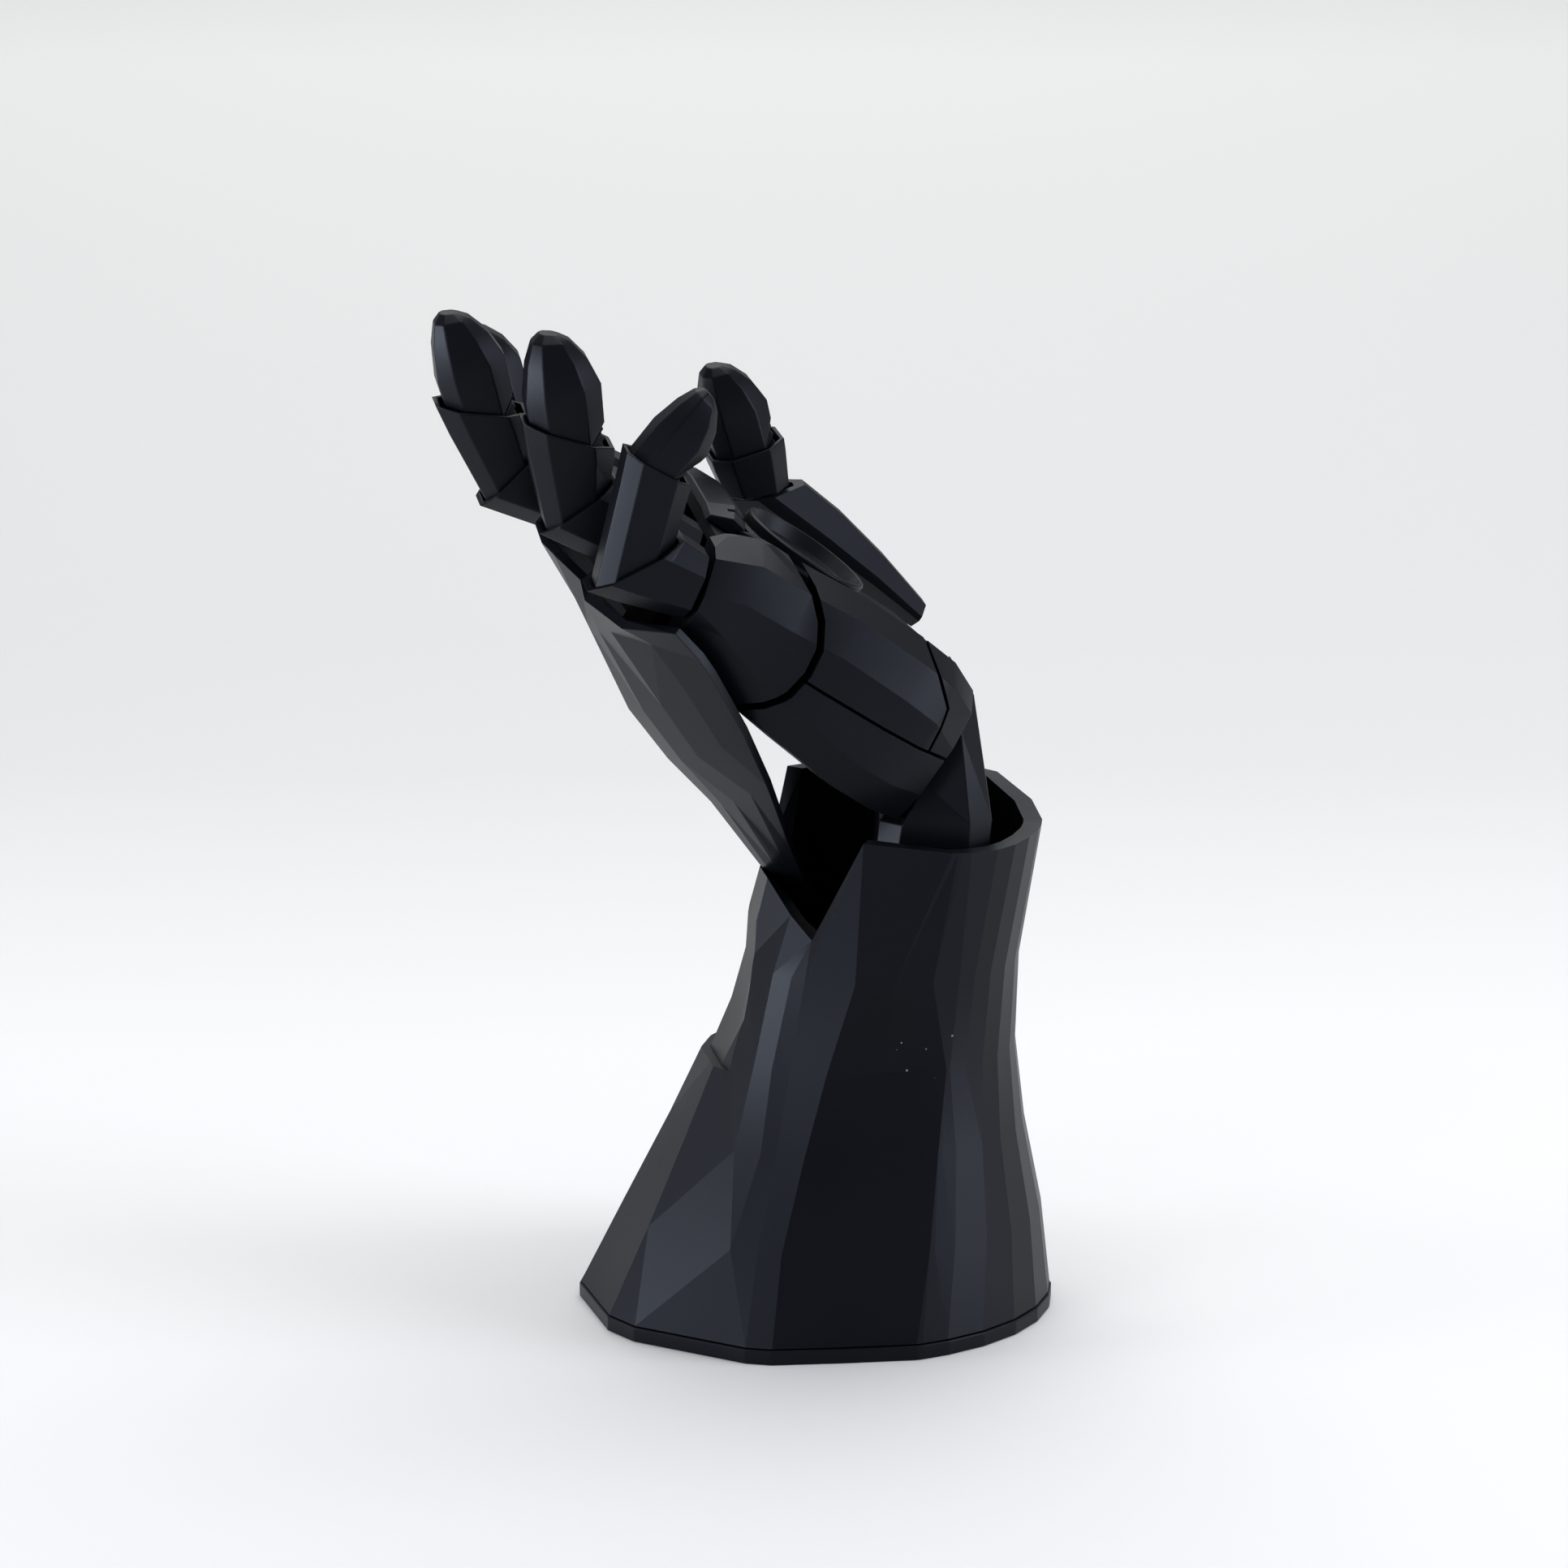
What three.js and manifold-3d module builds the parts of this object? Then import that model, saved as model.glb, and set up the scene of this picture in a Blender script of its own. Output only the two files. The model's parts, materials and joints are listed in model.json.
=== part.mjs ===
// Armoured gauntlet for a right hand, standing on its flared cuff.
// Millimetres, +Z up. -Y is the little-finger side, -X the side that the fingers lean to.
// The cuff is drawn about its own base centre. The hand is drawn in its own frame at the wrist:
// x runs along the palm to the fingers, y to the little finger, z out of the palm.

import * as THREE from "three";
import { mergeVertices } from "three/addons/utils/BufferGeometryUtils.js";
import Module from "manifold-3d";

const wasm = await Module();
wasm.setup();

// ---- Driving dimensions ----

const clearance = 0.4; // between neighbouring pieces
const degree = Math.PI / 180;

const handTilt = 34.3 * degree; // palm axis above the horizontal
const handTurn = 12 * degree; // palm axis turned towards the little-finger side
const wristPoint = new THREE.Vector3(30, 5, 155);

const hemHeight = 4;
const hemFlare = 0.5; // how far the base ring stands out from the shell
const hemWall = 8;
const cuffWall = 5;

// Cuff levels from the hem up: height, centre x, half width and depth over width. The last level
// is the rim, whose height differs from facet edge to facet edge.
const cuffLevels = [
  { z: hemHeight + clearance, x: 0.4, radius: 64, ratio: 0.93 },
  { z: 28, x: 5.1, radius: 56.7, ratio: 0.94 },
  { z: 52, x: 8.9, radius: 48.1, ratio: 0.95 },
  { z: 74, x: 12.8, radius: 41.6, ratio: 0.98 },
  { z: 98, x: 17.2, radius: 38, ratio: 1 },
  { z: 134, x: 23.1, radius: 38, ratio: 1 },
];
const waistLevel = 3;
const neckLevel = 4;

// Facet edges round the cuff: an angle from +X, in degrees, for each level, and the rim's height.
// The rim dips in a V between 143 and 254 degrees, where the shield of the hand comes down. slope
// is how much lower the inner edge of the rim lies there. inset moves an edge inwards at each level.
const cuffEdges = [
  { angles: [0, 0, 0, 0, 0, 0], top: 134 },
  { angles: [20, 20, 20, 20, 20, 20], top: 136.5 },
  { angles: [45, 45, 45, 45, 45, 45], top: 141 },
  { angles: [72, 72, 72, 72, 72, 72], top: 142.5 },
  { angles: [100, 99.5, 98.5, 98, 97, 96], top: 143 },
  { angles: [126, 125, 123.5, 122, 121, 120], top: 143 },
  { angles: [150, 149, 147.5, 146, 144.5, 143], top: 143.5 },
  { angles: [165, 164, 162, 160, 158.5, 157], top: 123, slope: 6 },
  { angles: [180, 179, 177.5, 176, 175, 174], top: 120, slope: 5.5 },
  { angles: [210, 209, 206, 203, 201.5, 200], top: 121, slope: 4 },
  { angles: [221, 241, 231, 226, 222, 219], top: 113.5, slope: 2 },
  { angles: [253, 249, 241, 234.5, 232, 231], top: 108 },
  { angles: [258.5, 252.5, 246.5, 242, 238.5, 254], top: 136 },
  { angles: [259.5, 255.8, 255.8, 256.5, 260, 290], top: 133.2 },
  { angles: [277, 276, 277.5, 279, 276, 292.5], top: 133.1, inset: [2.4, 3, 3, 2.7, 1.1, 0] },
  { angles: [294.5, 296.5, 299.5, 302, 291.5, 295], top: 133 },
  { angles: [296, 298, 301, 303.5, 303.5, 298.5], top: 132.8 },
  { angles: [303, 304.5, 306.5, 310.5, 311.5, 311.5], top: 132.5 },
  { angles: [314, 316, 318, 320, 321, 322], top: 132.7 },
  { angles: [326, 327, 328, 330, 332, 333], top: 133.2 },
  { angles: [338, 339, 340, 342, 344, 345], top: 133.7 },
  { angles: [350, 350, 350, 351, 352, 352], top: 134 },
];

// Recess in the cuff below the end of the shield. It stands on a ledge and is given by the height,
// the depth and the angle of the crease that it starts from on the little-finger side.
const recessLevels = [
  { z: 70, depth: 2.4, crease: 216 },
  { z: 84, depth: 3, crease: 212 },
  { z: 98, depth: 2.2, crease: 206 },
  { z: 127, depth: -0.6, crease: 195 },
];
const recessAngles = [203, 176, 160, 146]; // along the facet edges of the cuff
const recessEnd = 140;
const facetSag = 0.75; // of the facet that the crease lies on

// Wrist sleeve, from the palm down into the cuff.
const sleeveWall = 3;
const sleeveTop = { x: 2.4, yMin: -25, yMax: 25, zMin: -15, zMax: 20, bevel: 9 };
const sleeveLevels = [
  { z: 138, x: 32, halfX: 15, halfY: 24, bevel: 6 },
  { z: 92, x: 27.5, halfX: 15, halfY: 23, bevel: 4 },
];
const shelfBottom = 93;
const shelfTop = 98;

// Palm core, as eight-sided sections across the hand.
const palmWall = 3;
const palmSections = [
  { x: 3, yMin: -25, yMax: 25, zMin: -15, zMax: 19, bevel: 9 },
  { x: 20, yMin: -35, yMax: 32, zMin: -15, zMax: 20.5, bevel: 10 },
  { x: 55, yMin: -38, yMax: 32, zMin: -11, zMax: 20.5, bevel: 9 },
  { x: 88, yMin: -40, yMax: 26, zMin: -1, zMax: 20.5, bevel: 5 },
];

// Shield over the back of the hand: stations from the knuckles to the pointed end.
const shieldWall = 2.6;
const shieldStations = [
  { x: 97.6, half: 48, middle: -21, edge: -5 },
  { x: 75, half: 47, middle: -35, edge: -7.5 },
  { x: 58, half: 43, middle: -41, edge: -16.5 },
  { x: 41, half: 33, middle: -45, edge: -27 },
  { x: 19, half: 15, middle: -53, edge: -42 },
  { x: -4.6, half: 4.6, middle: -59, edge: -57.2 },
];
const frontBand = 9; // least width of the facets along the front edge
// Front edge of the shield, scalloped over each finger: y across the hand, then x and z.
const shieldFront = [
  [-46, 96, 1],
  [-38, 105, -6],
  [-28.5, 111, -9],
  [-17.5, 119, -9],
  [-6.5, 117.5, -10.5],
  [4.5, 116, -9.5],
  [15.5, 109.5, -9.5],
  [26, 108.5, -11.5],
  [38, 99.5, -10.5],
  [48, 90, -2.5],
];

// Round palm plate: a rim round a shallow floor with a low boss.
const palmPlateRadius = 19.3;
const palmPlateHeight = 6.2;
const palmPlateCentre = [58.6, 0];

// Fingers. root is where the proximal tube starts, in the hand frame; lengths and bends go from
// the proximal tube to the tip; the bends are in degrees towards the palm. mouth sizes the last
// tube's mouth and the tip in it. lean is how much shorter that tube is on its palm side.
const fingerSizes = { half: 10, depth: 10.8, baseHalf: 8.3, baseDepth: 8.7, wall: 1.7 };
const lipWall = 1.3; // round the mouth of a tube
const tipInsert = 1; // of a tip into the tube before it
const padLift = 7; // of a tip's base over the pad of the finger, where the ribs show
const fingers = {
  index: {
    root: [90.5, -28.4, 9.7],
    lengths: [38, 16.5, 23],
    bends: [-11, 42, 7],
    splay: -3,
    mouth: 1,
    lean: 0.5,
  },
  middle: {
    root: [90, -6.6, 10.5],
    lengths: [46.8, 19.2, 26.5],
    bends: [-11, 44.3, 7.7],
    splay: 0,
    mouth: 1,
    lean: 0.55,
  },
  ring: {
    root: [89.5, 15.2, 10.2],
    lengths: [32.9, 19.4, 26.5],
    bends: [-5, 54, 0],
    splay: 0,
    mouth: 1.05,
    lean: 0.45,
  },
  little: {
    root: [90.4, 37, 9.3],
    lengths: [17, 26, 22.5],
    bends: [-10.7, 80, 27],
    splay: 0,
    mouth: 0.85,
    lean: 0.3,
  },
};
const thumb = { root: [65, -48, 25.8], lengths: [13, 24.5], bends: [40.7, -2], mouth: 0.97 };

// ---- Materials ----

const armourFinish = { color: 0x1c1e21, roughness: 0.42, metalness: 0.05, flatShading: true };
const coreFinish = { color: 0x121315, roughness: 0.6, metalness: 0, flatShading: true };

const armour = () => new THREE.MeshStandardMaterial(armourFinish);
const core = () => new THREE.MeshStandardMaterial(coreFinish);

// ---- Geometry helpers ----

const at = (x, y, z) => new THREE.Vector3(x, y, z);

// Closed body from shared points. The faces are turned round if they came out inward.
function bodyFrom(points, triangles) {
  let volume = 0;
  for (const [a, b, c] of triangles) {
    volume += points[a].dot(points[b].clone().cross(points[c]));
  }
  const outward = triangles.map(([a, b, c]) => (volume > 0 ? [a, b, c] : [a, c, b]));
  const geometry = new THREE.BufferGeometry().setFromPoints(points);
  geometry.setIndex(outward.flat());
  return geometry;
}

// Triangles over one end ring, laid like the rungs of a ladder.
function endCap(start, count) {
  const triangles = [];
  for (let low = 0, high = count - 1; low + 1 < high; low++, high--) {
    triangles.push([start + low, start + low + 1, start + high]);
    if (low + 1 < high - 1) {
      triangles.push([start + low + 1, start + high - 1, start + high]);
    }
  }
  return triangles;
}

// Skin over a row of rings with equal counts of points. A looped skin joins its last ring to its
// first and is the wall of a tube. Any other skin has both ends closed.
function skin(rings, looped = false) {
  const count = rings[0].length;
  const points = rings.flat();
  const triangles = [];
  const bands = looped ? rings.length : rings.length - 1;
  for (let i = 0; i < bands; i++) {
    for (let j = 0; j < count; j++) {
      const next = ((i + 1) % rings.length) * count;
      const a = i * count + j;
      const b = i * count + ((j + 1) % count);
      const c = next + ((j + 1) % count);
      const d = next + j;
      const shortWay = points[a].distanceTo(points[c]) <= points[b].distanceTo(points[d]);
      triangles.push(...(shortWay ? [[a, b, c], [a, c, d]] : [[a, b, d], [b, c, d]]));
    }
  }
  if (!looped) {
    triangles.push(...endCap(0, count).map(([a, b, c]) => [a, c, b]));
    triangles.push(...endCap((rings.length - 1) * count, count));
  }
  return bodyFrom(points, triangles);
}

// Tube wall between an outer and an inner row of rings.
const tube = (outer, inner) => skin([...outer, ...inner.slice().reverse()], true);

// Cup, open at the first ring of each row.
const cup = (outer, inner) => skin([...inner.slice().reverse(), ...outer]);

function solidOf(geometry) {
  const bare = geometry.clone();
  bare.deleteAttribute("normal");
  bare.deleteAttribute("uv");
  const merged = mergeVertices(bare);
  const vertProperties = new Float32Array(merged.attributes.position.array);
  const triVerts = new Uint32Array(merged.index.array);
  return new wasm.Manifold(new wasm.Mesh({ numProp: 3, vertProperties, triVerts }));
}

function geometryOf(solid) {
  const { vertProperties, triVerts } = solid.getMesh();
  const geometry = new THREE.BufferGeometry();
  geometry.setAttribute("position", new THREE.BufferAttribute(vertProperties, 3));
  geometry.setIndex(new THREE.BufferAttribute(triVerts, 1));
  return geometry;
}

function cut(geometry, ...tools) {
  let solid = solidOf(geometry);
  for (const tool of tools) {
    solid = solid.subtract(solidOf(tool));
  }
  return geometryOf(solid);
}

const join = (first, second) => geometryOf(solidOf(first).add(solidOf(second)));

// Keeps what lies beyond a plane, on the side that the normal points to.
const keepBeyond = (geometry, normal, point) =>
  geometryOf(solidOf(geometry).trimByPlane(normal.toArray(), normal.dot(point)));

function box(xMin, xMax, yMin, yMax, zMin, zMax) {
  const geometry = new THREE.BoxGeometry(xMax - xMin, yMax - yMin, zMax - zMin);
  return geometry.translate((xMin + xMax) / 2, (yMin + yMax) / 2, (zMin + zMax) / 2);
}

function piece(name, geometry, material) {
  const mesh = new THREE.Mesh(geometry, material);
  mesh.name = name;
  return mesh;
}

// ---- Cuff ----

// One ring of cuff points at a level, moved outwards by grow. The top level follows the rim.
function cuffRing(level, grow) {
  const { z, x, radius, ratio } = cuffLevels[level];
  const isRim = level === cuffLevels.length - 1;
  return cuffEdges.map(({ angles, top, slope = 0, inset = [] }) => {
    const angle = angles[level] * degree;
    const shift = grow - (inset[level] ?? 0);
    const rimHeight = grow < 0 ? top - slope : top;
    const across = (radius + shift) * Math.cos(angle);
    return at(x + across, (radius * ratio + shift) * Math.sin(angle), isRim ? rimHeight : z);
  });
}

const cuffRings = (grow) => cuffLevels.map((_, level) => cuffRing(level, grow));

// Point beside the cuff at any height above the waist, moved outwards by grow.
function cuffPoint(z, angle, grow) {
  const upper = cuffLevels.findIndex((level) => level.z > z);
  const [low, high] = [cuffLevels[upper - 1], cuffLevels[upper]];
  const share = (z - low.z) / (high.z - low.z);
  const half = THREE.MathUtils.lerp(low.radius, high.radius, share) + grow;
  const x = THREE.MathUtils.lerp(low.x, high.x, share) + half * Math.cos(angle * degree);
  return at(x, half * Math.sin(angle * degree), z);
}

function cuffRecess() {
  const clearOfCuff = 6;
  return skin(recessLevels.map(({ z, depth, crease }) => {
    const angles = [crease, ...recessAngles.map((angle) => Math.min(angle, crease - 3)), recessEnd];
    const inner = angles.map((angle, i) => cuffPoint(z, angle, i === 0 ? -facetSag : -depth));
    const outer = angles.map((angle) => cuffPoint(z, angle, clearOfCuff));
    return [...inner, ...outer.reverse()];
  }));
}

function cuff() {
  const shell = tube(cuffRings(0), cuffRings(-cuffWall));
  return piece("cuff", cut(shell, cuffRecess()), armour());
}

function baseRing() {
  const level = (grow, z) => cuffRing(0, grow).map((p) => at(p.x, p.y, z));
  const outer = [level(hemFlare, 0), level(hemFlare, hemHeight)];
  const inner = [level(-hemWall, 0), level(-hemWall, hemHeight)];
  return piece("base_ring", tube(outer, inner), armour());
}

// ---- Wrist ----

// Eight-sided ring across the hand, given by its limits in y and z and its bevel.
function octagon({ x, yMin, yMax, zMin, zMax, bevel }, grow = 0, lean = 0) {
  const low = { y: yMin - grow, z: zMin - grow };
  const high = { y: yMax + grow, z: zMax + grow };
  const corners = [
    [high.y, low.z + bevel],
    [high.y, high.z - bevel],
    [high.y - bevel, high.z],
    [low.y + bevel, high.z],
    [low.y, high.z - bevel],
    [low.y, low.z + bevel],
    [low.y + bevel, low.z],
    [high.y - bevel, low.z],
  ];
  const middle = (zMin + zMax) / 2;
  return corners.map(([y, z]) => at(x + lean * (z - middle), y, z));
}

const handToWorld = new THREE.Matrix4();
{
  const outOfPalm = at(Math.sin(handTilt), 0, Math.cos(handTilt));
  const straight = at(-Math.cos(handTilt), 0, Math.sin(handTilt));
  const side = at(0, -1, 0);
  const [cosine, sine] = [Math.cos(handTurn), Math.sin(handTurn)];
  const along = straight.clone().multiplyScalar(cosine).addScaledVector(side, sine);
  const across = side.clone().multiplyScalar(cosine).addScaledVector(straight, -sine);
  handToWorld.makeBasis(along, across, outOfPalm).setPosition(wristPoint);
}

// Wrist rings from the palm down, moved outwards by grow.
function sleeveRings(grow) {
  const top = octagon(sleeveTop, grow).map((p) => p.applyMatrix4(handToWorld));
  const lower = sleeveLevels.map(({ z, x, halfX, halfY, bevel }) => {
    const flat = { x: z, yMin: -halfY, yMax: halfY, zMin: -halfX, zMax: halfX, bevel };
    return octagon(flat, grow).map((p) => at(x + p.z, -p.y, p.x));
  });
  return [top, ...lower];
}

function wristSleeve() {
  return piece("wrist_sleeve", tube(sleeveRings(0), sleeveRings(-sleeveWall)), core());
}

function wristShelf() {
  const room = -cuffWall - clearance;
  const [lower, upper] = [cuffRing(waistLevel, room), cuffRing(neckLevel, room)];
  const rise = cuffLevels[neckLevel].z - cuffLevels[waistLevel].z;
  const disc = skin([shelfBottom, shelfTop].map((z) => {
    const share = (z - cuffLevels[waistLevel].z) / rise;
    return upper.map((p, i) => lower[i].clone().lerp(p, share).setZ(z));
  }));
  return piece("wrist_shelf", cut(disc, skin(sleeveRings(clearance))), core());
}

// ---- Palm ----

const palmRings = (grow) => palmSections.map((section) => octagon(section, grow));
const palmCore = (grow) => skin(palmRings(grow));

function palmBody() {
  const thumbWindow = box(28, 50, -50, -20, 2, 16);
  const wall = tube(palmRings(0), palmRings(-palmWall));
  return piece("palm_body", cut(wall, thumbWindow, littlePassage()), core());
}

// Room that the palm plate takes, for cutting its neighbours.
function palmPlateBlank() {
  const blank = new THREE.CylinderGeometry(palmPlateRadius + 1, palmPlateRadius + 1, 30, 28);
  return blank.rotateX(90 * degree).translate(...palmPlateCentre, palmSections[1].zMax + 15);
}

function palmPlate() {
  const outline = [
    [0, 0],
    [palmPlateRadius - 0.8, 0],
    [palmPlateRadius, 0.8],
    [palmPlateRadius, 2.4],
    [palmPlateRadius - 1, 3.2],
    [palmPlateRadius - 1, palmPlateHeight - 0.4],
    [palmPlateRadius - 1.5, palmPlateHeight],
    [palmPlateRadius - 2.3, palmPlateHeight],
    [palmPlateRadius - 4, 2.6],
    [8, 2.2],
    [0, 3.6],
  ];
  const dish = new THREE.LatheGeometry(outline.map(([r, z]) => new THREE.Vector2(r, z)), 36);
  dish.rotateX(90 * degree);
  const nub = box(-palmPlateRadius - 3.5, -palmPlateRadius + 1, -1.6, 1.6, 0, 2.4);
  const mesh = piece("palm_plate", join(dish, nub), armour());
  mesh.position.set(...palmPlateCentre, palmSections[1].zMax + clearance);
  return mesh;
}

function palmFrontPad() {
  const base = palmSections[1].zMax + clearance;
  const across = [
    { y: -37, rise: 2.5, back: 80 },
    { y: -22, rise: 5, back: 77.5 },
    { y: 2, rise: 5.6, back: 77 },
    { y: 11.6, rise: 4, back: 78 },
  ];
  const rings = across.map(({ y, rise, back }) => [
    at(back, y, base),
    at(back + 1, y, base + rise * 0.8),
    at(back + 5, y, base + rise),
    at(89, y, base + rise * 0.45),
    at(89.5, y, base - 2 + rise * 0.4),
    at(88, y, base),
  ]);
  const slit = box(79, 84, 5, 6.2, base + 1.5, base + 9);
  return piece("palm_front_pad", cut(skin(rings), slit, palmPlateBlank()), armour());
}

// ---- Plates on the little-finger side ----

const drumCentre = at(75, 0, 5.5);
const drumRadius = 21.5;
const drumGap = 2.1; // to the plates behind it

// Round blank about an axis across the hand, which parts the drum from the plates behind it.
function drumBlank(grow) {
  const radius = drumRadius + grow;
  return new THREE.CylinderGeometry(radius, radius, 60, 20).translate(drumCentre.x, 36, drumCentre.z);
}

// Band round the little-finger side of the palm, before it is parted into plates.
function outerBand() {
  const stations = [
    { x: 4, reach: 32, top: 21, bottom: -20 },
    { x: 14, reach: 38, top: 25.5, bottom: -20.5 },
    { x: 26, reach: 41, top: 27, bottom: -20 },
    { x: 46, reach: 42.5, top: 28, bottom: -17.4 },
    { x: 62, reach: 42.5, top: 27, bottom: -15 },
    { x: 78, reach: 45.5, top: 27, bottom: -9 },
    { x: 94, reach: 47, top: 21, bottom: -3 },
  ];
  const rings = stations.map(({ x, reach, top, bottom }) => [
    at(x, 12, top - 3),
    at(x, reach * 0.6, top),
    at(x, reach * 0.88, top - 4),
    at(x, reach, top - 14),
    at(x, reach, bottom + 12),
    at(x, reach * 0.88, bottom + 2.5),
    at(x, reach * 0.55, bottom),
    at(x, 12, bottom + 1),
  ]);
  const sleeve = skin(sleeveRings(clearance)).applyMatrix4(handToWorld.clone().invert());
  return cut(skin(rings), palmCore(clearance), palmPlateBlank(), sleeve);
}

// Passage of the little finger, slanting from inside the palm core out through the drum.
function littlePassage() {
  const limits = { zMin: 0.5, zMax: 14.5, bevel: 4 };
  return skin([
    octagon({ x: 58, yMin: 15, yMax: 28, ...limits }),
    octagon({ x: 78, yMin: 29, yMax: 43, ...limits }),
    octagon({ x: 98, yMin: 29, yMax: 44, ...limits }),
  ]);
}

function outerDrum(band) {
  const roundEnd = geometryOf(solidOf(band).intersect(solidOf(drumBlank(0))));
  const knuckleSide = keepBeyond(roundEnd, at(-19.7, 0, 3.4).normalize(), at(87, 0, -0.7));
  const clearOfRing = box(80, 100, 0, 26.5, -30, 40);
  return piece("outer_drum", cut(knuckleSide, littlePassage(), clearOfRing), armour());
}

function outerPlates() {
  const band = outerBand();
  const shell = keepBeyond(cut(band, drumBlank(drumGap)), at(-1, 0, 0), at(68, 0, 0));
  const up = at(0, 0, 1);
  const down = at(0, 0, -1);
  const seam = at(10.7, 0, 3.6);
  const upperHalf = keepBeyond(shell, up, seam.clone().addScaledVector(up, clearance));
  // The heel plate ends in a bend: steep from the seam up, then slanting towards the fingers.
  const bend = at(12.8, 0, 16);
  const edges = [at(bend.z - seam.z, 0, seam.x - bend.x).normalize(), at(1, 0, -1.15).normalize()];
  const inFront = (geometry, gap) =>
    edges.reduce((rest, out) => keepBeyond(rest, out, bend.clone().addScaledVector(out, gap)), geometry);
  const wholeBand = box(-20, 90, -60, 60, -20, 60);
  return [
    outerDrum(band),
    piece("outer_upper", inFront(upperHalf, clearance), armour()),
    piece("heel_plate", cut(upperHalf, inFront(wholeBand, -clearance)), armour()),
    piece("outer_lower", keepBeyond(shell, down, seam.clone().addScaledVector(down, clearance)), armour()),
  ];
}

// ---- Shield over the back of the hand ----

// Moves each point of a grid along the grid's own normal.
function offsetGrid(grid, distance) {
  return grid.map((row, i) =>
    row.map((p, j) => {
      const before = grid[Math.max(i - 1, 0)][j];
      const after = grid[Math.min(i + 1, grid.length - 1)][j];
      const left = row[Math.max(j - 1, 0)];
      const right = row[Math.min(j + 1, row.length - 1)];
      const normal = after.clone().sub(before).cross(right.clone().sub(left)).normalize();
      return p.clone().addScaledVector(normal, distance);
    }),
  );
}

function backShield() {
  const widest = shieldFront.at(-1)[0];
  const front = shieldFront.map(([y, x, z]) => at(x, y, z));
  const rows = shieldStations.map(({ x, half, middle, edge }) =>
    shieldFront.map(([y, frontX]) => {
      const share = y / widest;
      const z = THREE.MathUtils.lerp(middle, edge, Math.abs(share) ** 1.6);
      return at(Math.min(x, frontX - frontBand), share * half, z);
    }),
  );
  const outer = [front, ...rows];
  const inner = offsetGrid(outer, -shieldWall);
  const rings = outer.map((row, i) => [...row, ...inner[i].slice().reverse()]);
  return piece("back_shield", skin(rings), armour());
}

// Block that carries the shield under the knuckles.
function knuckleBridge() {
  const sides = { yMin: -12, yMax: 12, zMax: 0, bevel: 4 };
  const block = skin([
    octagon({ x: 70, zMin: -31, ...sides }),
    octagon({ x: 86, zMin: -22.5, ...sides }),
  ]);
  return piece("knuckle_bridge", cut(block, palmCore(clearance)), core());
}

// ---- Fingers ----

// Eight-sided ring of a finger at a distance x, leaning by a slope in z.
function fingerRing(x, half, depth, lean = 0, drop = 0) {
  const corners = [
    [1, -0.55],
    [1, 0.5],
    [0.5, 1],
    [-0.5, 1],
    [-1, 0.5],
    [-1, -0.55],
    [-0.5, -1],
    [0.5, -1],
  ];
  return corners.map(([y, z]) => at(x + lean * z * depth, y * half, z * depth + drop));
}

// Tube whose lip takes the base of the next piece.
function fingerTube(length, baseHalf, baseDepth, leanIn, leanOut, mouth = 1) {
  const { wall } = fingerSizes;
  const half = fingerSizes.half * mouth;
  const depth = fingerSizes.depth * mouth;
  const outer = [
    fingerRing(0, baseHalf, baseDepth, leanIn),
    fingerRing(length * 0.72, half * 0.97, depth * 0.97, -leanOut * 0.5),
    fingerRing(length, half, depth, -leanOut),
  ];
  const inner = [
    fingerRing(0, baseHalf - wall, baseDepth - wall, leanIn),
    fingerRing(length - 5.6, baseHalf - wall, baseDepth - wall, -leanOut),
    fingerRing(length - 5.2, half - lipWall, depth - lipWall, -leanOut),
    fingerRing(length, half - lipWall, depth - lipWall, -leanOut),
  ];
  return tube(outer, inner);
}

// Ring that leans by a slope and is lifted over the pad of the finger.
const liftedRing = (x, half, depth, slope, lift) =>
  fingerRing(x, half, depth, slope).map((p) => (p.z > depth * 0.9 ? at(p.x + lift, p.y, p.z) : p));

// Ribbed sleeve that shows on the palm side between a tube and a tip. It fans out from the back of
// the finger and ends against the tip's base.
function ribbedSleeve(half, depth, slope) {
  const wall = 1.9;
  const ribs = 3;
  const start = -2.6;
  const length = -start - tipInsert - clearance;
  const fan = (share, grow) =>
    liftedRing(start + share * length, half + grow, depth + grow, slope, share * padLift);
  const outer = [fan(0, 0)];
  for (let rib = 0; rib < ribs; rib++) {
    outer.push(fan((rib + 0.3) / ribs, 0), fan((rib + 0.5) / ribs, 0.6), fan((rib + 0.8) / ribs, 0));
  }
  outer.push(fan(1, 0));
  return tube(outer, [fan(0, -wall), fan(1, -wall)]);
}

// Rounded tip, hollow from its slanted base to three quarters of its length.
function fingerTip(length, half, depth, slope) {
  const { wall } = fingerSizes;
  const outer = [
    liftedRing(-tipInsert, half, depth, slope, padLift),
    fingerRing(length * 0.42, half * 1.04, depth * 1.04, 0.12),
    fingerRing(length * 0.72, half * 0.82, depth * 0.82, 0, -0.5),
    fingerRing(length * 0.92, half * 0.55, depth * 0.52, -0.1, -1.2),
    fingerRing(length, half * 0.28, depth * 0.24, -0.2, -1.6),
  ];
  const inner = [
    liftedRing(-tipInsert, half - wall, depth - wall, slope, padLift),
    fingerRing(length * 0.42, half - wall, depth - wall, 0.12),
    fingerRing(length * 0.7, half * 0.55, depth * 0.52, 0, -0.5),
  ];
  return cup(outer, inner);
}

const halfLean = (bend) => Math.tan((bend / 2) * degree);

function turned(x, bend) {
  const group = new THREE.Group();
  group.position.set(x, 0, 0);
  group.rotation.y = -bend * degree;
  return group;
}

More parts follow.
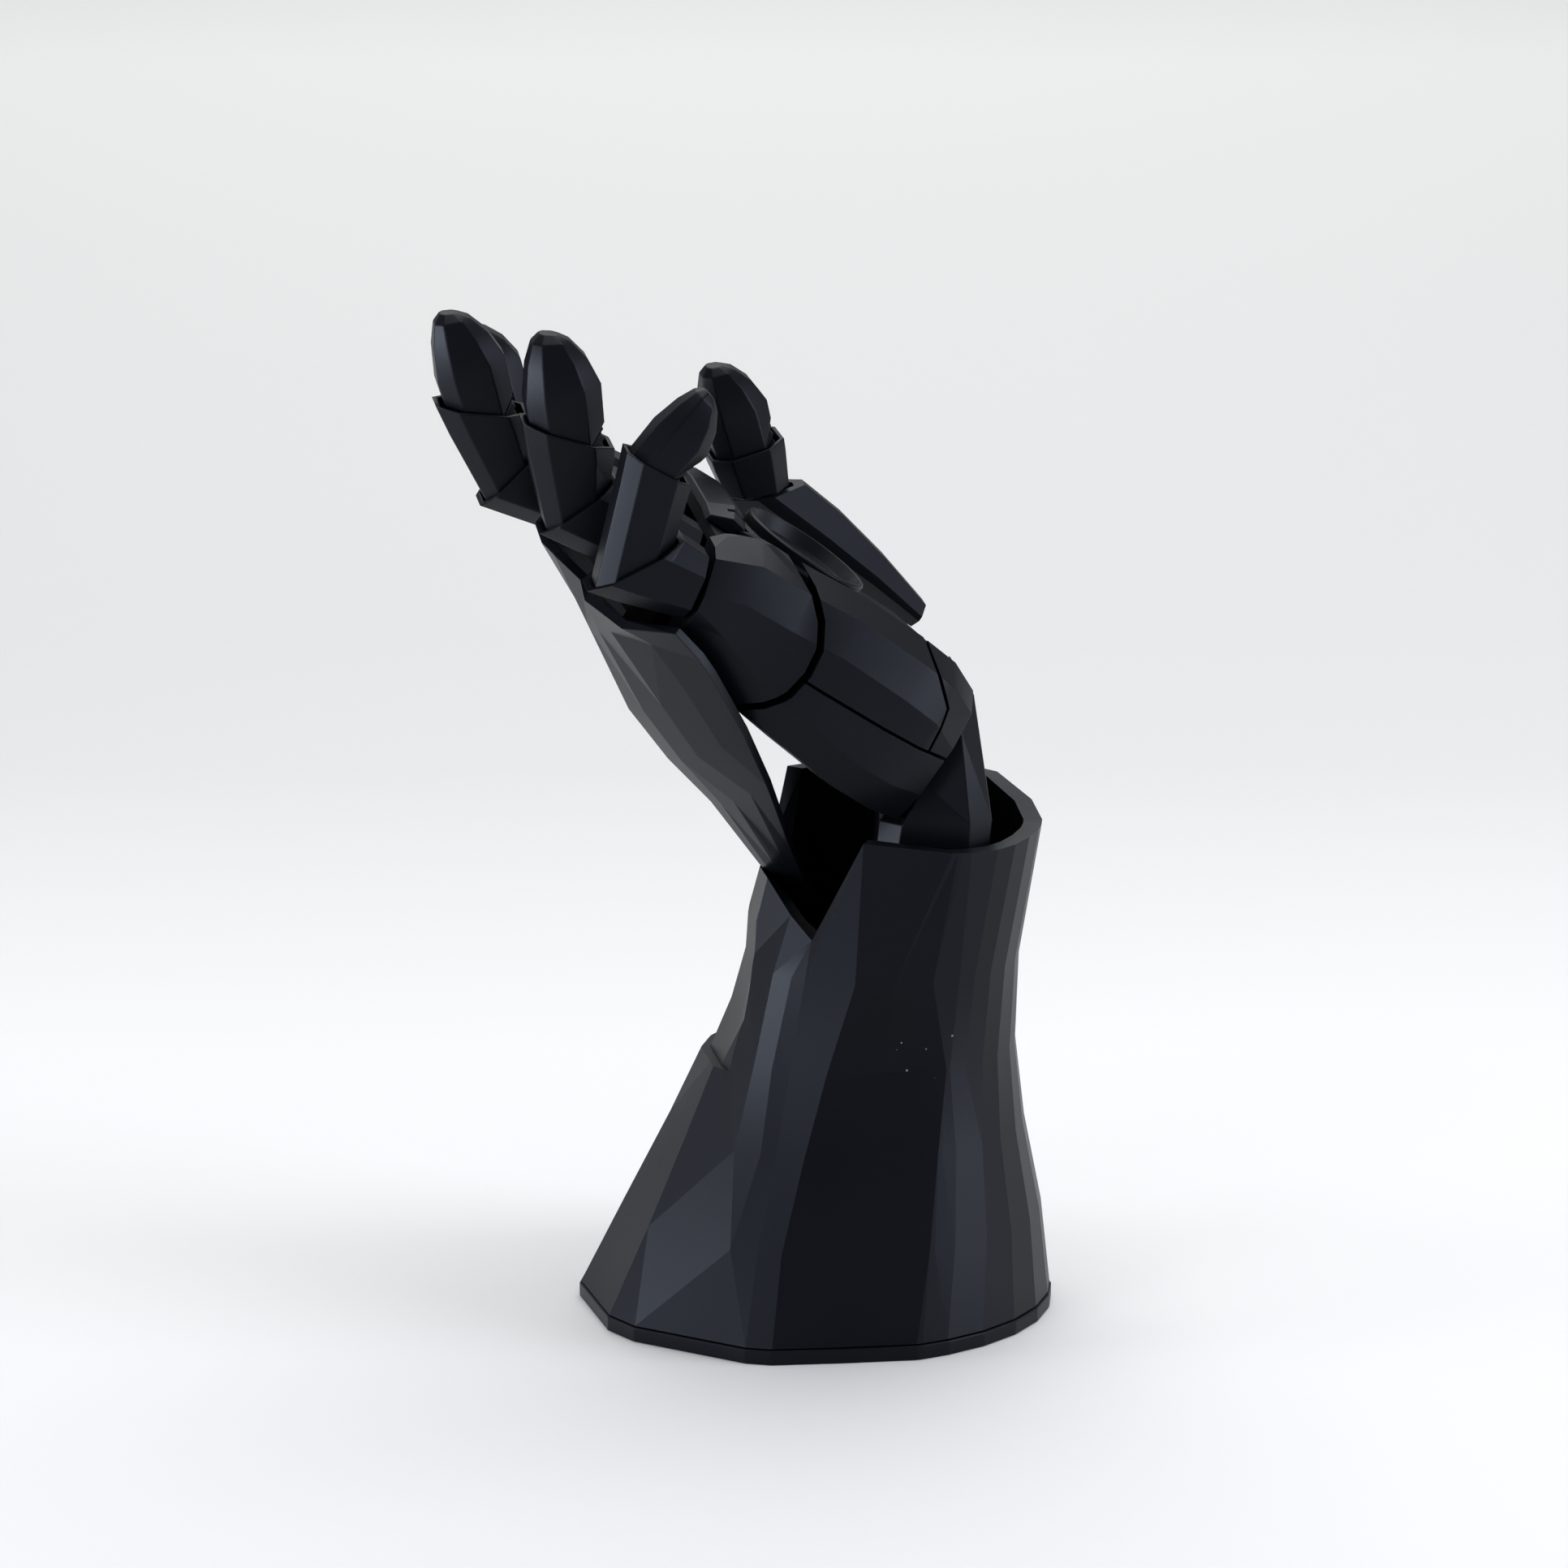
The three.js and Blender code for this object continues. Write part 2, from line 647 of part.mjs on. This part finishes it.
// Tip with its ribbed sleeve, in the frame of the tube before it, whose mouth it fits.
function tipGroup(name, x, bend, length, mouth, mouthLean) {
  const half = fingerSizes.half * mouth - lipWall - 0.15;
  const depth = fingerSizes.depth * mouth - lipWall - 0.5;
  const slope = Math.tan(bend * degree) - mouthLean;
  const group = turned(x, bend);
  group.add(piece(`${name}_tip`, fingerTip(length, half, depth, slope), armour()));
  group.add(piece(`${name}_joint`, ribbedSleeve(half - 1.2, depth - 1.1, slope), core()));
  return group;
}

function finger(name, { root, lengths, bends, splay, mouth, lean }) {
  const { baseHalf, baseDepth } = fingerSizes;
  const insert = 0.8;
  const proximal = new THREE.Group();
  proximal.position.set(...root);
  proximal.rotation.set(0, -bends[0] * degree, splay * degree, "ZYX");
  const firstTube = fingerTube(lengths[0], baseHalf + 0.7, baseDepth, 0, halfLean(bends[1]));
  proximal.add(piece(`${name}_proximal`, firstTube, armour()));
  const middle = turned(lengths[0], bends[1]);
  const leanIn = halfLean(bends[1]);
  const secondTube = fingerTube(lengths[1] + insert, baseHalf, baseDepth, leanIn, lean, mouth);
  secondTube.translate(-insert, 0, 0);
  middle.add(piece(`${name}_middle`, secondTube, armour()));
  middle.add(tipGroup(name, lengths[1], bends[2], lengths[2], mouth, lean));
  proximal.add(middle);
  return proximal;
}

// ---- Thumb ----

function thumbBase() {
  const wall = 2;
  const stations = [
    { x: 8, y: -42, z: 21, half: 6, rise: 3.6, lean: 0 },
    { x: 24, y: -46, z: 23, half: 8, rise: 6, lean: 0 },
    { x: 43, y: -48, z: 24.5, half: 9, rise: 8, lean: -0.3 },
    { x: 63, y: -48, z: 26, half: 9, rise: 8, lean: -1.1 },
  ];
  const ring = ({ x, y, z, half, rise, lean }, grow) => {
    const sides = { x, yMin: y - half, yMax: y + half, zMin: z - rise, zMax: z + rise };
    return octagon({ ...sides, bevel: rise * 0.8 + grow * 0.5 }, grow, lean);
  };
  const outer = stations.map((station) => ring(station, 0));
  const inner = stations.map((station) => ring(station, -wall));
  const thumbWindow = box(30, 46, -48, -30, 12, 20);
  const wallBody = cut(tube(outer, inner), thumbWindow, palmCore(clearance));
  return piece("thumb_base", wallBody, armour());
}

function thumbGroup() {
  const group = new THREE.Group();
  const [collarLength, tipLength] = thumb.lengths;
  const { baseHalf, baseDepth } = fingerSizes;
  group.position.set(...thumb.root);
  group.rotation.set(0, -thumb.bends[0] * degree, 6 * degree, "ZYX");
  const { mouth } = thumb;
  const collar = fingerTube(collarLength, baseHalf + 0.4, baseDepth, -0.12, 0, mouth);
  group.add(piece("thumb_collar", collar, armour()));
  group.add(tipGroup("thumb", collarLength, thumb.bends[1], tipLength, mouth, 0));
  return group;
}

// ---- Assembly ----

const hand = new THREE.Group();
handToWorld.decompose(hand.position, hand.quaternion, hand.scale);
hand.add(palmBody(), palmPlate(), palmFrontPad(), ...outerPlates(), backShield(), knuckleBridge());
for (const [name, sizes] of Object.entries(fingers)) {
  hand.add(finger(name, sizes));
}
hand.add(thumbBase(), thumbGroup());

const gauntlet = new THREE.Group();
gauntlet.add(baseRing(), cuff(), wristShelf(), wristSleeve(), hand);

// The origin lies under the middle of the whole piece, on the surface that it stands on.
const extent = new THREE.Box3().setFromObject(gauntlet, true);
const middle = extent.getCenter(new THREE.Vector3());
gauntlet.position.set(-middle.x, -middle.y, -extent.min.z);

export default gauntlet;
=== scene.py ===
import json
from math import radians

import bpy
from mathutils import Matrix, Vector


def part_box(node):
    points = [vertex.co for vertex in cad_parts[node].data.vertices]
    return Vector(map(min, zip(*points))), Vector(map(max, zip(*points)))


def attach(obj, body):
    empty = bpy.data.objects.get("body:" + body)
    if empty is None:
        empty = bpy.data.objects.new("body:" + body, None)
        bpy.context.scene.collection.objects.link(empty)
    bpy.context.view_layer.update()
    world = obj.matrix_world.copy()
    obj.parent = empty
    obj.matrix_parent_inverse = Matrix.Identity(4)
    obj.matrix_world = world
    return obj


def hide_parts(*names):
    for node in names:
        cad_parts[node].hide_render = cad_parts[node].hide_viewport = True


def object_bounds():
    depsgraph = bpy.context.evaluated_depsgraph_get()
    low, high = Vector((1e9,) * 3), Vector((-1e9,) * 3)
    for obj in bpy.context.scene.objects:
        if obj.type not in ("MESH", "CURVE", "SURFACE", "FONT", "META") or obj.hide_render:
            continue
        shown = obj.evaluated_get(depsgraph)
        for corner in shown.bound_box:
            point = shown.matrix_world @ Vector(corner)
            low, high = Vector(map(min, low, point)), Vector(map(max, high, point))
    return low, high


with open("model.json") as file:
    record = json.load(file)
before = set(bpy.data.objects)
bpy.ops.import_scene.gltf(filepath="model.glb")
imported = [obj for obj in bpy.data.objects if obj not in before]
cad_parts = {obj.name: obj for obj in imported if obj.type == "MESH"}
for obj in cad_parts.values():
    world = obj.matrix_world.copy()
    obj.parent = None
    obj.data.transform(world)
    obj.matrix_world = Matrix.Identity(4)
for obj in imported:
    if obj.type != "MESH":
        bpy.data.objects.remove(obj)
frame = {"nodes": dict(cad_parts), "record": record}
cadLow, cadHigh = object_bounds()
print("frame loaded:", len(frame["nodes"]), "parts")


def only(piece):
    # deselects all and makes this the one object worked on
    if bpy.context.object and bpy.context.object.mode != "OBJECT":
        bpy.ops.object.mode_set(mode="OBJECT")
    bpy.ops.object.select_all(action="DESELECT")
    piece.select_set(True)
    bpy.context.view_layer.objects.active = piece
    return piece


def modify(piece, kind, **settings):
    # adds a modifier, sets it and applies it
    only(piece)
    modifier = piece.modifiers.new(kind.lower(), kind)
    for name, value in settings.items():
        setattr(modifier, name, value)
    bpy.ops.object.modifier_apply(modifier=modifier.name)


class Shade:
    # wraps a socket, so that sums on it add their Math nodes
    def __init__(self, tree, socket):
        self.tree = tree
        self.socket = socket

    def sum(self, operation, *values):
        node = self.tree.nodes.new("ShaderNodeMath")
        node.operation = operation
        for entry, value in zip(node.inputs, values):
            if isinstance(value, Shade):
                self.tree.links.new(value.socket, entry)
            else:
                entry.default_value = value
        return Shade(self.tree, node.outputs[0])

    def __add__(self, other):
        return self.sum("ADD", self, other)

    def __radd__(self, other):
        return self.sum("ADD", other, self)

    def __sub__(self, other):
        return self.sum("SUBTRACT", self, other)

    def __rsub__(self, other):
        return self.sum("SUBTRACT", other, self)

    def __mul__(self, other):
        return self.sum("MULTIPLY", self, other)

    def __rmul__(self, other):
        return self.sum("MULTIPLY", other, self)

    def __truediv__(self, other):
        return self.sum("DIVIDE", self, other)

    def __mod__(self, other):
        return self.sum("FLOORED_MODULO", self, other)

    def __pow__(self, other):
        return self.sum("POWER", self, other)

    def __gt__(self, other):
        return self.sum("GREATER_THAN", self, other)

    def __abs__(self):
        return self.sum("ABSOLUTE", self)


class Finish:
    # a material with a principled shader, and the one way to add any other node to it
    def __init__(self, name):
        self.material = bpy.data.materials.new(name)
        self.material.use_nodes = True
        self.tree = self.material.node_tree
        self.shader = self.tree.nodes["Principled BSDF"]
        self.place = self.add("ShaderNodeTexCoord", output="Object")

    def fill(self, entries, values):
        # links or sets each of a node's sockets
        for name, value in values.items():
            if isinstance(value, Shade):
                self.tree.links.new(value.socket, entries[name])
            else:
                entries[name].default_value = value

    def add(self, kind, settings=None, inputs=None, output=0):
        node = self.tree.nodes.new(kind)
        for name, value in (settings or {}).items():
            setattr(node, name, value)
        self.fill(node.inputs, inputs or {})
        return Shade(self.tree, node.outputs[output])

    def axis(self, name, vector=None):
        return self.add("ShaderNodeSeparateXYZ", inputs={"Vector": vector or self.place}, output=name)

    def noise(self, scale, detail=2.0):
        inputs = {"Vector": self.place, "Scale": scale, "Detail": detail}
        return self.add("ShaderNodeTexNoise", inputs=inputs, output="Fac")

    def mixed(self, share, first, second):
        # indexes 0, 6 and 7 are the factor and the two colours of a colour mix
        settings = {"data_type": "RGBA", "clamp_factor": True}
        return self.add("ShaderNodeMix", settings, {0: share, 6: first, 7: second}, output=2)

    def feed(self, **sockets):
        # Base_Color=... goes to the shader's own Base Color
        self.fill(self.shader.inputs, {name.replace("_", " "): value for name, value in sockets.items()})


armourLook = {
    "dark": (0.0022, 0.0025, 0.0037, 1),
    "light": (0.0042, 0.0047, 0.0068, 1),
    "gloss": 0.13,
    "tint": (0.8, 0.86, 1, 1),
    "roughness": 0.3,
    "cloudRoughness": 0.1,
    "grainRoughness": 0.06,
    "cloudScale": 16,
    "cloudDetail": 4.0,
    "cloudFrom": 0.3,
    "cloudContrast": 2.4,
    "grainScale": 1400,
    "grainHeight": 0.25,
    "layerStep": 0.0002,
    "layerHeight": 0.5,
    "layerPower": 6,  # the higher, the nearer to level a face is that shows its layers
    "bumpStrength": 0.6,
    "bumpDepth": 0.00004,
}
coreLook = dict(
    armourLook,
    dark=(0.0016, 0.0018, 0.0025, 1),
    light=(0.0032, 0.0037, 0.005, 1),
    roughness=0.46,
)
# a few pale specks halfway up the front of the cuff
speckLook = {
    "colour": (0.16, 0.17, 0.19, 1),
    "centre": Vector((0.0465, -0.033, 0.0805)),
    "reach": 0.009,
    "scale": 420,
    "size": 0.13,
    "patchScale": 210,
    "patchFrom": 0.5,
}
# fine strokes across the level face of the cuff's rim
rimLook = {
    "centre": (0.0407, 0.0028),
    "above": 0.125,
    "beside": 0.018,
    "pitch": radians(1.3),
    "paleFrom": 0.5,
    "depth": 9,
    "colour": (0.02, 0.021, 0.024, 1),
}


def speckled(finish, colour, specks):
    # dots where a cell's middle is near, kept in some patches only
    ends = {0: finish.place, 1: specks["centre"]}
    away = finish.add("ShaderNodeVectorMath", {"operation": "DISTANCE"}, ends, output="Value")
    cells = {"Vector": finish.place, "Scale": specks["scale"]}
    cell = finish.add("ShaderNodeTexVoronoi", inputs=cells, output="Distance")
    patch = finish.noise(specks["patchScale"]) > specks["patchFrom"]
    near = 1 - (away > specks["reach"])
    dot = 1 - (cell > specks["size"])
    return finish.mixed(dot * near * patch, colour, specks["colour"])


def rimStrokes(finish, height, level, rim):
    # how far across its stroke each point is, and where the strokes are
    across, back = (finish.axis(name) - middle for name, middle in zip("XY", rim["centre"]))
    bearing = back.sum("ARCTAN2", back, across)
    where = level * (height > rim["above"]) * (across > rim["beside"])
    return bearing / rim["pitch"] % 1, where


def plasticFinish(name, look, specks=None, rim=None):
    finish = Finish(name)
    clouds = finish.noise(look["cloudScale"], look["cloudDetail"])
    grain = finish.noise(look["grainScale"])
    share = (clouds - look["cloudFrom"]) * look["cloudContrast"]
    colour = finish.mixed(share, look["dark"], look["light"])
    if specks:
        colour = speckled(finish, colour, specks)
    # print layers show as steps where a face lies nearly level
    height = finish.axis("Z")
    upright = finish.axis("Z", finish.add("ShaderNodeNewGeometry", output="Normal"))
    level = abs(upright) ** look["layerPower"]
    step = height / look["layerStep"] % 1
    relief = grain * look["grainHeight"] + step * level * look["layerHeight"]
    if rim:
        stroke, where = rimStrokes(finish, height, level, rim)
        relief = relief + stroke * where * rim["depth"]
        colour = finish.mixed((stroke > rim["paleFrom"]) * where, colour, rim["colour"])
    bump = {"Strength": look["bumpStrength"], "Distance": look["bumpDepth"], "Height": relief}
    roughness = look["roughness"] + look["cloudRoughness"] * clouds + look["grainRoughness"] * grain
    finish.feed(
        Specular_IOR_Level=look["gloss"],
        Specular_Tint=look["tint"],
        Base_Color=colour,
        Roughness=roughness,
        Normal=finish.add("ShaderNodeBump", inputs=bump),
    )
    return finish.material


finishes = {
    "armour_black": plasticFinish("armour_black", armourLook),
    "core_black": plasticFinish("core_black", coreLook),
}
cuffBlack = plasticFinish("cuff_black", armourLook, speckLook, rimLook)
print("finishes made")


mouldLook = {
    "mergeWithin": 0.00002,
    "flatWithin": radians(0.8),  # faces this near to one plane become one face
    "pairWithin": radians(7),  # triangles this near to one plane become a four-sided face
    "pairShape": radians(180),
    "creaseFrom": radians(3),  # least turn of a crease that runs along the grain
    "cornerFrom": radians(24),  # least turn of a corner that runs across it
    "alongShare": 0.5,
    "smoothWithin": radians(32),
    "edge": 0.0004,
    "edgeSegments": 2,
    "faceWeight": 80,
}
edgeWidths = {"cuff": 0.0006, "back_shield": 0.0005}
# the small turns of the round plate's curves aren't creases
creaseStarts = {"palm_plate": radians(20)}


def middleOf(node):
    low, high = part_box(node)
    return (Vector(low) + Vector(high)) / 2


# panels run lengthwise: up the cuff, along the palm, and out along each finger
grainEnds = {}
for finger in ("index", "middle", "ring", "little"):
    first, second, tip = (finger + "_" + share for share in ("proximal", "middle", "tip"))
    grainEnds[first] = (first, second)
    grainEnds[second] = (first, tip)
    grainEnds[finger + "_joint"] = grainEnds[tip] = (second, tip)
for share in ("collar", "joint", "tip"):
    grainEnds["thumb_" + share] = ("thumb_collar", "thumb_tip")
uprightParts = ("cuff", "base_ring", "wrist_shelf", "wrist_sleeve")


def grainOf(node):
    if node in uprightParts:
        return Vector((0, 0, 1))
    start, end = grainEnds.get(node, ("heel_plate", "outer_drum"))
    return (middleOf(end) - middleOf(start)).normalized()


def selectCreases(piece, grain, creaseFrom):
    # an edge along the grain is a crease from a small turn on, one across it only at a corner
    mesh = piece.data
    normals = {}
    for face in mesh.polygons:
        for key in face.edge_keys:
            normals.setdefault(key, []).append(face.normal)
    for edge in mesh.edges:
        start, end = (mesh.vertices[index].co for index in edge.vertices)
        turn = normals[edge.key][0].angle(normals[edge.key][-1])
        along = abs((end - start).normalized().dot(grain)) > mouldLook["alongShare"]
        edge.select = turn > (creaseFrom if along else mouldLook["cornerFrom"])


def copyOf(node):
    # the part's own mesh as a new object, without the part's marks
    source = frame["nodes"][node]
    piece = source.copy()
    piece.data = source.data.copy()
    piece.name = node + "_moulded"
    piece.parent = None
    for key in list(piece.keys()):
        del piece[key]
    bpy.context.scene.collection.objects.link(piece)
    return piece


def moulded(node):
    piece = only(copyOf(node))
    bpy.context.tool_settings.mesh_select_mode = (False, True, False)
    bpy.ops.object.mode_set(mode="EDIT")
    bpy.ops.mesh.select_all(action="SELECT")
    bpy.ops.mesh.remove_doubles(threshold=mouldLook["mergeWithin"])
    bpy.ops.mesh.dissolve_limited(angle_limit=mouldLook["flatWithin"])
    bpy.ops.mesh.tris_convert_to_quads(
        face_threshold=mouldLook["pairWithin"],
        shape_threshold=mouldLook["pairShape"],
    )
    bpy.ops.mesh.select_all(action="DESELECT")
    bpy.ops.object.mode_set(mode="OBJECT")
    selectCreases(piece, grainOf(node), creaseStarts.get(node, mouldLook["creaseFrom"]))
    bpy.ops.object.mode_set(mode="EDIT")
    bpy.ops.mesh.bevel(
        offset=edgeWidths.get(node, mouldLook["edge"]),
        segments=mouldLook["edgeSegments"],
        affect="EDGES",
        clamp_overlap=True,
    )
    bpy.ops.object.mode_set(mode="OBJECT")
    bpy.ops.object.shade_smooth_by_angle(angle=mouldLook["smoothWithin"])
    modify(piece, "WEIGHTED_NORMAL", keep_sharp=True, weight=mouldLook["faceWeight"])
    return piece


for part in frame["record"]["subparts"]:
    node, slotName = part["node"], part["material_slot"]
    piece = moulded(node)
    piece.data.materials.clear()
    piece.data.materials.append(cuffBlack if node == "cuff" else finishes[slotName])
    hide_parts(node)
    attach(piece, "root")
print("parts moulded")


# painted light and shade on the paper: its colour goes from near to far and then to distant, so much to
# the metre, darker in the far band and lighter again in the distant band, in place of how the lamps
# light it
floorLook = {
    "size": 24,
    "near": (0.71, 0.71, 0.71, 1),
    "far": (0.61, 0.61, 0.61, 1),
    "distant": (0.8, 0.8, 0.8, 1),
    "farFrom": 0.25,
    "farPerMetre": 2.5,
    "distantFrom": 0.9,
    "distantPerMetre": 0.4,
    "roughness": 0.7,
}
bpy.ops.object.select_all(action="DESELECT")
bpy.ops.mesh.primitive_plane_add(size=floorLook["size"], location=(0, 0, cadLow.z))
floor = bpy.context.object
floor.name = "floor"
paper = Finish("pale_paper")
# painted shade and painted light: the floor's colour changes with distance instead of its lighting
depth = paper.axis("Y")
farShare = (depth - floorLook["farFrom"]) * floorLook["farPerMetre"]
distantShare = (depth - floorLook["distantFrom"]) * floorLook["distantPerMetre"]
paintedShading = paper.mixed(farShare, floorLook["near"], floorLook["far"])
paintedShading = paper.mixed(distantShare, paintedShading, floorLook["distant"])
paper.feed(Base_Color=paintedShading, Roughness=floorLook["roughness"])
floor.data.materials.append(paper.material)

white, cool = (1, 0.99, 0.98), (0.86, 0.91, 1)
waist = (0, 0, 0.12)
softboxes = {
    "top": {
        "place": (0.1, 0.2, 2.4),
        "aim": (0.1, 0.2, 0),
        "size": (1.9, 1.9),
        "power": 36,
        "colour": white,
    },
    "back": {
        "place": (0, 3.5, 3.0),
        "aim": (0, 3.5, 0),
        "size": (4.2, 5),
        "power": 122,
        "colour": white,
    },
    "left": {
        "place": (-1.45, -0.2, 0.19),
        "aim": waist,
        "size": (0.6, 0.34),
        "power": 15,
        "colour": cool,
    },
    "front": {
        "place": (-0.95, -1.15, 0.3),
        "aim": waist,
        "size": (0.4, 0.5),
        "power": 5,
        "colour": cool,
    },
    "right": {
        "place": (1.5, -0.35, 0.5),
        "aim": waist,
        "size": (0.8, 1.1),
        "power": 20,
        "colour": cool,
    },
}
for name, box in softboxes.items():
    place = Vector(box["place"])
    bpy.ops.object.light_add(type="AREA", location=place)
    light = bpy.context.object
    light.name = name + "_softbox"
    light.rotation_euler = (Vector(box["aim"]) - place).to_track_quat("-Z", "Y").to_euler()
    light.data.shape = "RECTANGLE"
    light.data.size, light.data.size_y = box["size"]
    light.data.energy = box["power"]
    light.data.color = box["colour"]

roomLook = {"colour": (0.9, 0.95, 1, 1), "strength": 0.26}
room = bpy.data.worlds.new("room")
room.use_nodes = True
roomLight = room.node_tree.nodes["Background"].inputs
roomLight["Color"].default_value = roomLook["colour"]
roomLight["Strength"].default_value = roomLook["strength"]
bpy.context.scene.world = room
bpy.context.scene.view_settings.view_transform = "Standard"

cameraLook = {"place": (0.0094, -1.4587, 0.4811), "pitch": 13, "lens": 128.57, "sensor": 36}
bpy.ops.object.camera_add(
    location=cameraLook["place"],
    rotation=(radians(90 - cameraLook["pitch"]), 0, 0),
)
camera = bpy.context.object
camera.data.lens = cameraLook["lens"]
camera.data.sensor_width = cameraLook["sensor"]
bpy.context.scene.camera = camera
print("scene lit")
